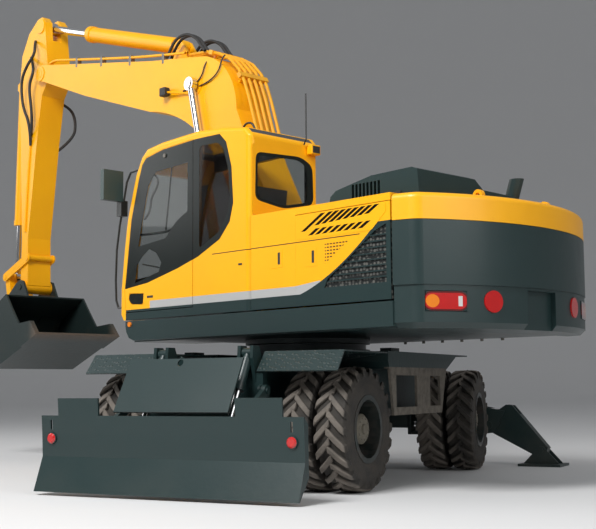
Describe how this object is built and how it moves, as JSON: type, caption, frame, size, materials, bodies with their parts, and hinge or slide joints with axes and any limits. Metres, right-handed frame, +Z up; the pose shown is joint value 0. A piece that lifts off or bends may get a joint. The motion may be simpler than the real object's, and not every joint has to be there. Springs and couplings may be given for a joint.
{
  "type": "wheeled excavator",
  "caption": "Wheeled excavator with slewing cab, boom, arm and bucket, dozer blade, outriggers and twin-tyred steered axle.",
  "frame": {"origin": "on the ground under the middle of the bounding box", "axes": "+X from the tail towards the bucket along the boom, +Y to the cab side of the upper house, +Z up; the lower half stands turned about the slew axis"},
  "size_m": [8.5147, 5.8953, 5.8],
  "materials": {
    "rubber": "matte",
    "hub_paint": "satin",
    "dark_paint": "satin",
    "dusty_paint": "matte",
    "worn_steel": "matte",
    "yellow_paint": "gloss",
    "chrome": "gloss",
    "steel_pipe": "satin",
    "glass": "gloss",
    "interior_plastic": "matte",
    "engine_iron": "matte",
    "lamp_plastic": "gloss",
    "black_metal": "satin"
  },
  "bodies": {
    "chassis": {"chassis_frame": "dark_paint", "fixed_axle": "dark_paint", "steer_axle": "dark_paint", "blade_guard": "dark_paint", "outrigger_frame": "dark_paint", "front_fenders": "dark_paint", "side_steps": "dusty_paint"},
    "wheel_front_left": {"tyres_front_left": "rubber", "rims_front_left": "hub_paint"},
    "knuckle_left": {"knuckle_left": "dark_paint"},
    "wheel_rear_left": {"tyres_rear_left": "rubber", "rims_rear_left": "hub_paint"},
    "wheel_front_right": {"tyres_front_right": "rubber", "rims_front_right": "hub_paint"},
    "knuckle_right": {"knuckle_right": "dark_paint"},
    "wheel_rear_right": {"tyres_rear_right": "rubber", "rims_rear_right": "hub_paint"},
    "steering_rod": {"steering_rod": "chrome"},
    "blade_arms": {"blade_arms": "dark_paint"},
    "blade_links": {"blade_links": "dark_paint"},
    "blade": {"blade": "dark_paint"},
    "blade_barrels": {"blade_barrels": "dark_paint"},
    "blade_rods": {"blade_rods": "chrome"},
    "outrigger_leg_left": {"outrigger_leg_left": "dark_paint"},
    "outrigger_pad_left": {"outrigger_pad_left": "worn_steel"},
    "outrigger_barrel_left": {"outrigger_barrel_left": "dark_paint"},
    "outrigger_rod_left": {"outrigger_rod_left": "chrome"},
    "outrigger_leg_right": {"outrigger_leg_right": "dark_paint"},
    "outrigger_pad_right": {"outrigger_pad_right": "worn_steel"},
    "outrigger_barrel_right": {"outrigger_barrel_right": "dark_paint"},
    "outrigger_rod_right": {"outrigger_rod_right": "chrome"},
    "upper": {"upper_frame": "dark_paint", "counterweight": "dark_paint", "house_shell": "yellow_paint", "engine_block": "engine_iron", "exhaust_cover": "dark_paint", "right_tanks": "dark_paint", "cab_shell": "yellow_paint", "cab_glass": "glass", "cab_interior": "interior_plastic", "lamps": "lamp_plastic", "mirrors_and_rails": "black_metal"},
    "boom": {"boom": "yellow_paint", "boom_pipes": "steel_pipe"},
    "boom_barrels": {"boom_barrels": "yellow_paint"},
    "boom_rods": {"boom_rods": "chrome"},
    "arm": {"arm": "yellow_paint"},
    "arm_barrel": {"arm_barrel": "yellow_paint"},
    "arm_rod": {"arm_rod": "chrome"},
    "bucket": {"bucket": "worn_steel"},
    "rocker": {"rocker": "yellow_paint"},
    "bucket_link": {"bucket_link": "yellow_paint"},
    "bucket_barrel": {"bucket_barrel": "yellow_paint"},
    "bucket_rod": {"bucket_rod": "chrome"},
    "cab_door": {"cab_door": "yellow_paint", "door_frame": "black_metal", "door_glass": "glass"},
    "engine_door_left": {"engine_door_left": "yellow_paint"},
    "engine_door_right": {"engine_door_right": "yellow_paint"},
    "engine_hood": {"engine_hood": "dark_paint"}
  },
  "joints": [
    {"name": "front_wheel_left_spin", "type": "hinge", "parent": "chassis", "child": "wheel_front_left", "pos_m": [-2.78144, 1.03582, 0.525], "axis": [-0.9474, -0.3201, 0], "continuous": true},
    {"name": "steer", "type": "hinge", "parent": "chassis", "child": "knuckle_left", "pos_m": [-1.58479, -1.51536, 0.525], "axis": [0, 0, 1], "range_deg": [-37, 19]},
    {"name": "rear_wheel_left_spin", "type": "hinge", "parent": "knuckle_left", "child": "wheel_rear_left", "pos_m": [-1.86554, -1.66257, 0.525], "axis": [-0.8856, -0.4644, 0], "continuous": true},
    {"name": "front_wheel_right_spin", "type": "hinge", "parent": "chassis", "child": "wheel_front_right", "pos_m": [-0.96815, 1.64852, 0.525], "axis": [-0.9474, -0.3201, 0], "continuous": true},
    {"name": "steer_right", "type": "hinge", "parent": "chassis", "child": "knuckle_right", "pos_m": [-0.37215, -1.10561, 0.525], "axis": [0, 0, 1], "range_deg": [-37, 19]},
    {"name": "rear_wheel_right_spin", "type": "hinge", "parent": "knuckle_right", "child": "wheel_rear_right", "pos_m": [-0.0914, -0.9584, 0.525], "axis": [-0.8856, -0.4644, 0], "continuous": true},
    {"name": "steering_rod_slide", "type": "slide", "parent": "chassis", "child": "steering_rod", "axis": [-0.9474, -0.3201, 0], "range_m": [-0.06504, 0.12657]},
    {"name": "blade_lift", "type": "hinge", "parent": "chassis", "child": "blade_arms", "pos_m": [-2.07423, 1.93239, 0.6], "axis": [0.9474, 0.3201, 0], "range_deg": [-10, 55]},
    {"name": "blade_link_swing", "type": "hinge", "parent": "chassis", "child": "blade_links", "pos_m": [-2.07423, 1.93239, 0.85], "axis": [0.9474, 0.3201, 0], "range_deg": [-10.2, 56.1]},
    {"name": "blade_level", "type": "hinge", "parent": "blade_arms", "child": "blade", "pos_m": [-2.20708, 2.32555, 0.345], "axis": [0.9474, 0.3201, 0], "range_deg": [-56.1, 10.2]},
    {"name": "blade_barrel_swing", "type": "hinge", "parent": "chassis", "child": "blade_barrels", "pos_m": [-2.05822, 1.88502, 1.165], "axis": [0.9474, 0.3201, 0], "range_deg": [-1.16, 6.36]},
    {"name": "blade_rod_slide", "type": "slide", "parent": "blade_barrels", "child": "blade_rods", "axis": [-0.1545, 0.4571, -0.8759], "range_m": [-0.25277, 0.04604]},
    {"name": "outrigger_left", "type": "hinge", "parent": "chassis", "child": "outrigger_leg_left", "pos_m": [-1.73664, -2.50294, 0.44], "axis": [-0.3201, 0.9474, 0], "range_deg": [-4, 85]},
    {"name": "outrigger_left_pad", "type": "hinge", "parent": "outrigger_leg_left", "child": "outrigger_pad_left", "pos_m": [-2.29559, -2.69181, 0.165], "axis": [-0.3201, 0.9474, 0], "range_deg": [-15, 70]},
    {"name": "outrigger_left_barrel_swing", "type": "hinge", "parent": "chassis", "child": "outrigger_barrel_left", "pos_m": [-0.80821, -2.18923, 0.555], "axis": [-0.3201, 0.9474, 0], "range_deg": [-0.36, 7.61]},
    {"name": "outrigger_left_rod_slide", "type": "slide", "parent": "outrigger_barrel_left", "child": "outrigger_rod_left", "axis": [-0.9464, -0.3198, 0.0462], "range_m": [-0.34854, 0.0165]},
    {"name": "outrigger_right", "type": "hinge", "parent": "chassis", "child": "outrigger_leg_right", "pos_m": [0.34759, -1.79868, 0.44], "axis": [0.3201, -0.9474, 0], "range_deg": [-4, 85]},
    {"name": "outrigger_right_pad", "type": "hinge", "parent": "outrigger_leg_right", "child": "outrigger_pad_right", "pos_m": [0.90655, -1.60981, 0.165], "axis": [0.3201, -0.9474, 0], "range_deg": [-15, 70]},
    {"name": "outrigger_right_barrel_swing", "type": "hinge", "parent": "chassis", "child": "outrigger_barrel_right", "pos_m": [-0.58084, -2.1124, 0.555], "axis": [0.3201, -0.9474, 0], "range_deg": [-0.36, 7.61]},
    {"name": "outrigger_right_rod_slide", "type": "slide", "parent": "outrigger_barrel_right", "child": "outrigger_rod_right", "axis": [0.9464, 0.3198, 0.0462], "range_m": [-0.34854, 0.0165]},
    {"name": "slew", "type": "hinge", "parent": "chassis", "child": "upper", "pos_m": [-1.45, 0.085, 1.29], "axis": [0, 0, -1], "continuous": true},
    {"name": "boom_lift", "type": "hinge", "parent": "upper", "child": "boom", "pos_m": [-1.43, 0.085, 1.93], "axis": [0, -1, 0], "range_deg": [-70, 27]},
    {"name": "boom_barrel_swing", "type": "hinge", "parent": "upper", "child": "boom_barrels", "pos_m": [-0.61, 0.085, 1.5], "axis": [0, -1, 0], "range_deg": [-75.11, 28.97]},
    {"name": "boom_rod_slide", "type": "slide", "parent": "boom_barrels", "child": "boom_rods", "axis": [0.2363, 0, 0.9717], "range_m": [-0.99649, 0.38442]},
    {"name": "arm_swing", "type": "hinge", "parent": "boom", "child": "arm", "pos_m": [3.312, 0.085, 4.994], "axis": [0, -1, 0], "range_deg": [-26, 80]},
    {"name": "arm_barrel_swing", "type": "hinge", "parent": "boom", "child": "arm_barrel", "pos_m": [0.58, 0.085, 4.8], "axis": [0, -1, 0], "range_deg": [-0.248, 0.081]},
    {"name": "arm_rod_slide", "type": "slide", "parent": "arm_barrel", "child": "arm_rod", "axis": [0.9555, 0, 0.295], "range_m": [-0.81554, 0.26512]},
    {"name": "bucket_curl", "type": "hinge", "parent": "arm", "child": "bucket", "pos_m": [3.743, 0.085, 2.216], "axis": [0, -1, 0], "range_deg": [-50, 95]},
    {"name": "rocker_swing", "type": "hinge", "parent": "arm", "child": "rocker", "pos_m": [3.64, 0.085, 2.6], "axis": [0, -1, 0], "range_deg": [-31.62, 60.08]},
    {"name": "bucket_link_swing", "type": "hinge", "parent": "rocker", "child": "bucket_link", "pos_m": [4.2, 0.085, 2.38], "axis": [0, -1, 0], "range_deg": [-53.3, 28.05]},
    {"name": "bucket_barrel_swing", "type": "hinge", "parent": "arm", "child": "bucket_barrel", "pos_m": [4.11, 0.085, 5], "axis": [0, -1, 0], "range_deg": [-1.27, 2.42]},
    {"name": "bucket_rod_slide", "type": "slide", "parent": "bucket_barrel", "child": "bucket_rod", "axis": [0.0343, 0, -0.9994], "range_m": [-0.5854, 0.30815]},
    {"name": "cab_door", "type": "hinge", "parent": "upper", "child": "cab_door", "pos_m": [-1.183, 1.341, 2.4], "axis": [0, 0, 1], "range_deg": [0, 150]},
    {"name": "engine_door_left", "type": "hinge", "parent": "upper", "child": "engine_door_left", "pos_m": [-2.593, 1.339, 1.9], "axis": [0, 0, -1], "range_deg": [0, 100]},
    {"name": "engine_door_right", "type": "hinge", "parent": "upper", "child": "engine_door_right", "pos_m": [-2.593, -1.169, 1.9], "axis": [0, 0, 1], "range_deg": [0, 100]},
    {"name": "engine_hood", "type": "hinge", "parent": "upper", "child": "engine_hood", "pos_m": [-2.795, 0.085, 2.411], "axis": [0, 1, 0], "range_deg": [0, 60]}
  ],
  "couplings": [
    {"joint": "steer_right", "follows": "steer", "ratio": 1},
    {"joint": "steering_rod_slide", "follows": "steer", "m_per_rad": -0.192},
    {"joint": "blade_link_swing", "follows": "blade_lift", "ratio": 1},
    {"joint": "blade_level", "follows": "blade_lift", "ratio": -1},
    {"joint": "blade_barrel_swing", "follows": "blade_lift", "ratio": 0.11342},
    {"joint": "blade_rod_slide", "follows": "blade_lift", "m_per_rad": -0.25805},
    {"joint": "outrigger_left_barrel_swing", "follows": "outrigger_left", "ratio": 0.087788},
    {"joint": "outrigger_left_rod_slide", "follows": "outrigger_left", "m_per_rad": -0.23026},
    {"joint": "outrigger_right_barrel_swing", "follows": "outrigger_right", "ratio": 0.087788},
    {"joint": "outrigger_right_rod_slide", "follows": "outrigger_right", "m_per_rad": -0.23026},
    {"joint": "boom_barrel_swing", "follows": "boom_lift", "ratio": 1.0519},
    {"joint": "boom_rod_slide", "follows": "boom_lift", "m_per_rad": 0.79956},
    {"joint": "arm_barrel_swing", "follows": "arm_swing", "ratio": -0.003036},
    {"joint": "arm_rod_slide", "follows": "arm_swing", "m_per_rad": -0.57256},
    {"joint": "rocker_swing", "follows": "bucket_curl", "ratio": 0.62},
    {"joint": "bucket_link_swing", "follows": "bucket_curl", "ratio": -0.55},
    {"joint": "bucket_barrel_swing", "follows": "bucket_curl", "ratio": 0.024965},
    {"joint": "bucket_rod_slide", "follows": "bucket_curl", "m_per_rad": -0.34608}
  ]
}
